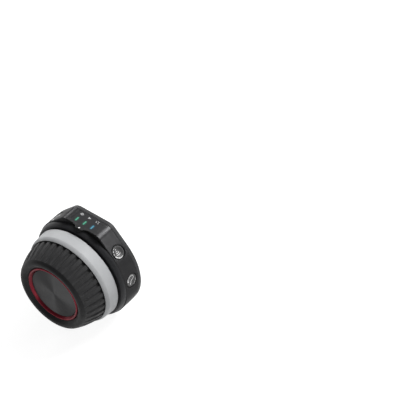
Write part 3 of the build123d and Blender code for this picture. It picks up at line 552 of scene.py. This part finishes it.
def add_window_marks():
    paint = print_behind_tint()
    for side, icon in WINDOW_ICONS.items():
        add_mark(f"window_icon_{side}", icon(), window_place(side), paint, "housing")


# ---- thread of the mounting socket, whose mouth is the frame's origin ----
SOCKET_R = MOUNTS["mount_socket"]["dims"]["r_mm"]
THREAD_PITCH = 1.27                                 # 20 turns to the inch
THREAD_HEIGHT, THREAD_SINK = 0.565, 0.015           # out of the bore's wall, and into it
THREAD_START, THREAD_END = 0.75, 6.3                # heights over the foot
ROOT_WIDTH, CREST_WIDTH = 0.9, 0.18                 # in pitches
THREAD_STEPS = 40                                   # sections to a turn
RUN_OUT = 0.25                                      # turns over which each end of it fades away


def add_socket_thread():
    """The helical ridge of the 1/4 inch thread."""
    count = round((THREAD_END - THREAD_START) / THREAD_PITCH * THREAD_STEPS)
    root, height = SOCKET_R + THREAD_SINK, THREAD_HEIGHT + THREAD_SINK
    section = [(0, -ROOT_WIDTH), (height, -CREST_WIDTH), (height, CREST_WIDTH), (0, ROOT_WIDTH)]
    verts = []
    for k in range(count + 1):
        turn = 2 * math.pi * k / THREAD_STEPS
        middle = THREAD_START + THREAD_PITCH * k / THREAD_STEPS
        fade = min(1.0, min(k + 1, count - k + 1) / (RUN_OUT * THREAD_STEPS))
        for rise, width in section:
            r, z = root - rise * fade, middle + width / 2 * THREAD_PITCH
            verts.append(Vector((r * math.cos(turn), r * math.sin(turn), z)) * MM)
    add_mesh("socket_thread", verts, bar_faces(0, count + 1), MATERIALS["steel"], "housing")


# ---- floor and background ----
FLOOR_HALF = 30.0               # metres
FLOOR_ALBEDO = 0.35             # its grey in the lamps' light
FLOOR_GLOW = 0.88               # what is added to that where it is seen
WORLD_LEVEL = 0.20              # the even light from all round
HORIZON_BAND = (0.13, 0.19)     # heights between which the white backdrop round the floor fades out


def seen_ray(tree):
    """1 on the rays that show a background: from the camera, off a glossy surface or through glass."""
    rays = add_node(tree, "ShaderNodeLightPath").outputs
    total = rays["Is Camera Ray"]
    for ray in ("Is Glossy Ray", "Is Transmission Ray"):
        total = add_math(tree, "ADD", total, rays[ray])
    return total


def floor_material():
    """Plain diffuse, which takes the shadow, and a glow that only the background's rays see."""
    material = bpy.data.materials.new("floor_white")
    material.use_nodes = True
    tree = material.node_tree
    tree.nodes.clear()
    diffuse = add_node(tree, "ShaderNodeBsdfDiffuse", Color=rgba(FLOOR_ALBEDO))
    level = add_math(tree, "MULTIPLY", seen_ray(tree), FLOOR_GLOW)
    glow = add_node(tree, "ShaderNodeEmission", Strength=level)
    both = add_node(tree, "ShaderNodeAddShader")
    feed(tree, both.inputs[0], diffuse.outputs["BSDF"])
    feed(tree, both.inputs[1], glow.outputs["Emission"])
    add_node(tree, "ShaderNodeOutputMaterial", Surface=both.outputs["Shader"])
    return material


def add_floor():
    h = FLOOR_HALF
    mesh = bpy.data.meshes.new("floor")
    mesh.from_pydata([(-h, -h, 0), (h, -h, 0), (h, h, 0), (-h, h, 0)], [], [(0, 1, 2, 3)])
    mesh.materials.append(floor_material())
    floor = bpy.data.objects.new("floor", mesh)
    bpy.context.scene.collection.objects.link(floor)


def add_world():
    """An even pale light, with a white band at the horizon that only the background's rays see."""
    world = bpy.data.worlds.new("studio")
    bpy.context.scene.world = world
    world.use_nodes = True
    tree = world.node_tree
    direction = add_node(tree, "ShaderNodeTexCoord").outputs["Generated"]
    height = add_node(tree, "ShaderNodeSeparateXYZ", Vector=direction).outputs["Z"]
    low, high = HORIZON_BAND
    band = add_node(tree, "ShaderNodeMapRange", Value=height, From_Min=low, From_Max=high,
                    To_Min=1 - WORLD_LEVEL, To_Max=0.0).outputs["Result"]
    level = add_math(tree, "MULTIPLY_ADD", seen_ray(tree), band, WORLD_LEVEL)
    background = tree.nodes["Background"]
    feed(tree, background.inputs["Color"], rgba(1.0))
    feed(tree, background.inputs["Strength"], level)


# ---- lamps: softboxes that aim at the wheel, with places and sizes in metres ----
LAMPS = {
    "softbox_back": {"place": (-0.3, 0.85, 1.05), "size": (1.0, 0.4), "watts": 4.2},
    "softbox_key": {"place": (0.34, 0.78, 1.07), "size": (0.6, 0.28), "watts": 14.0},
    "softbox_left_back": {"place": (-1.15, 0.83, 0.48), "size": (0.35, 0.4), "watts": 5.5},
    "softbox_right_back": {"place": (1.06, 0.85, 0.65), "size": (0.4, 0.35), "watts": 3.5},
    "softbox_front_right": {"place": (1.05, -0.72, 0.28), "size": (0.4, 0.5), "watts": 1.4},
}


def add_lamp(name, place, size, watts):
    lamp = bpy.data.lights.new(name, "AREA")
    lamp.shape = "RECTANGLE"
    lamp.size, lamp.size_y = size
    lamp.energy = watts
    softbox = bpy.data.objects.new(name, lamp)
    softbox.location = place
    softbox.rotation_euler = (AXIS - Vector(place)).to_track_quat("-Z", "Y").to_euler()
    bpy.context.scene.collection.objects.link(softbox)


# ---- camera, at the photograph's angle and distance ----
VIEW_AZIMUTH, VIEW_ELEVATION = 37.42, 44.67
VIEW_DISTANCE = 1214.0              # mm to the wheel's centre
PICTURE = 400                       # the picture's width and height in pixels
PIXELS_PER_MM = 1.520               # at the wheel's centre
WHEEL_CENTRE_PX = (78.2, 271.7)     # where the wheel's centre lies in the picture
SENSOR = 36.0                       # mm across
CLIP_END = 100.0                    # metres


def add_camera():
    """Works out the camera's place and axes from the view, and its lens from the picture's scale."""
    az, el = math.radians(VIEW_AZIMUTH), math.radians(VIEW_ELEVATION)
    right = Vector((math.cos(az), math.sin(az), 0))
    up = Vector((-math.sin(az) * math.sin(el), math.cos(az) * math.sin(el), math.cos(el)))
    back = right.cross(up)
    off_x = (WHEEL_CENTRE_PX[0] - PICTURE / 2) / PIXELS_PER_MM
    off_y = (PICTURE / 2 - WHEEL_CENTRE_PX[1]) / PIXELS_PER_MM
    place = at(*(back * VIEW_DISTANCE - right * off_x - up * off_y))
    optics = bpy.data.cameras.new("camera")
    optics.sensor_width = SENSOR
    optics.lens = SENSOR * PIXELS_PER_MM * VIEW_DISTANCE / PICTURE
    optics.clip_end = CLIP_END
    camera = bpy.data.objects.new("camera", optics)
    axes = Matrix((right, up, back)).transposed()
    camera.matrix_world = Matrix.Translation(place) @ axes.to_4x4()
    bpy.context.scene.collection.objects.link(camera)
    bpy.context.scene.camera = camera


dress_cad_nodes()
add_button_marks()
add_window_marks()
add_socket_thread()
add_floor()
add_world()
for name, lamp in LAMPS.items():
    add_lamp(name, **lamp)
add_camera()
bpy.context.scene.view_settings.view_transform = "Standard"
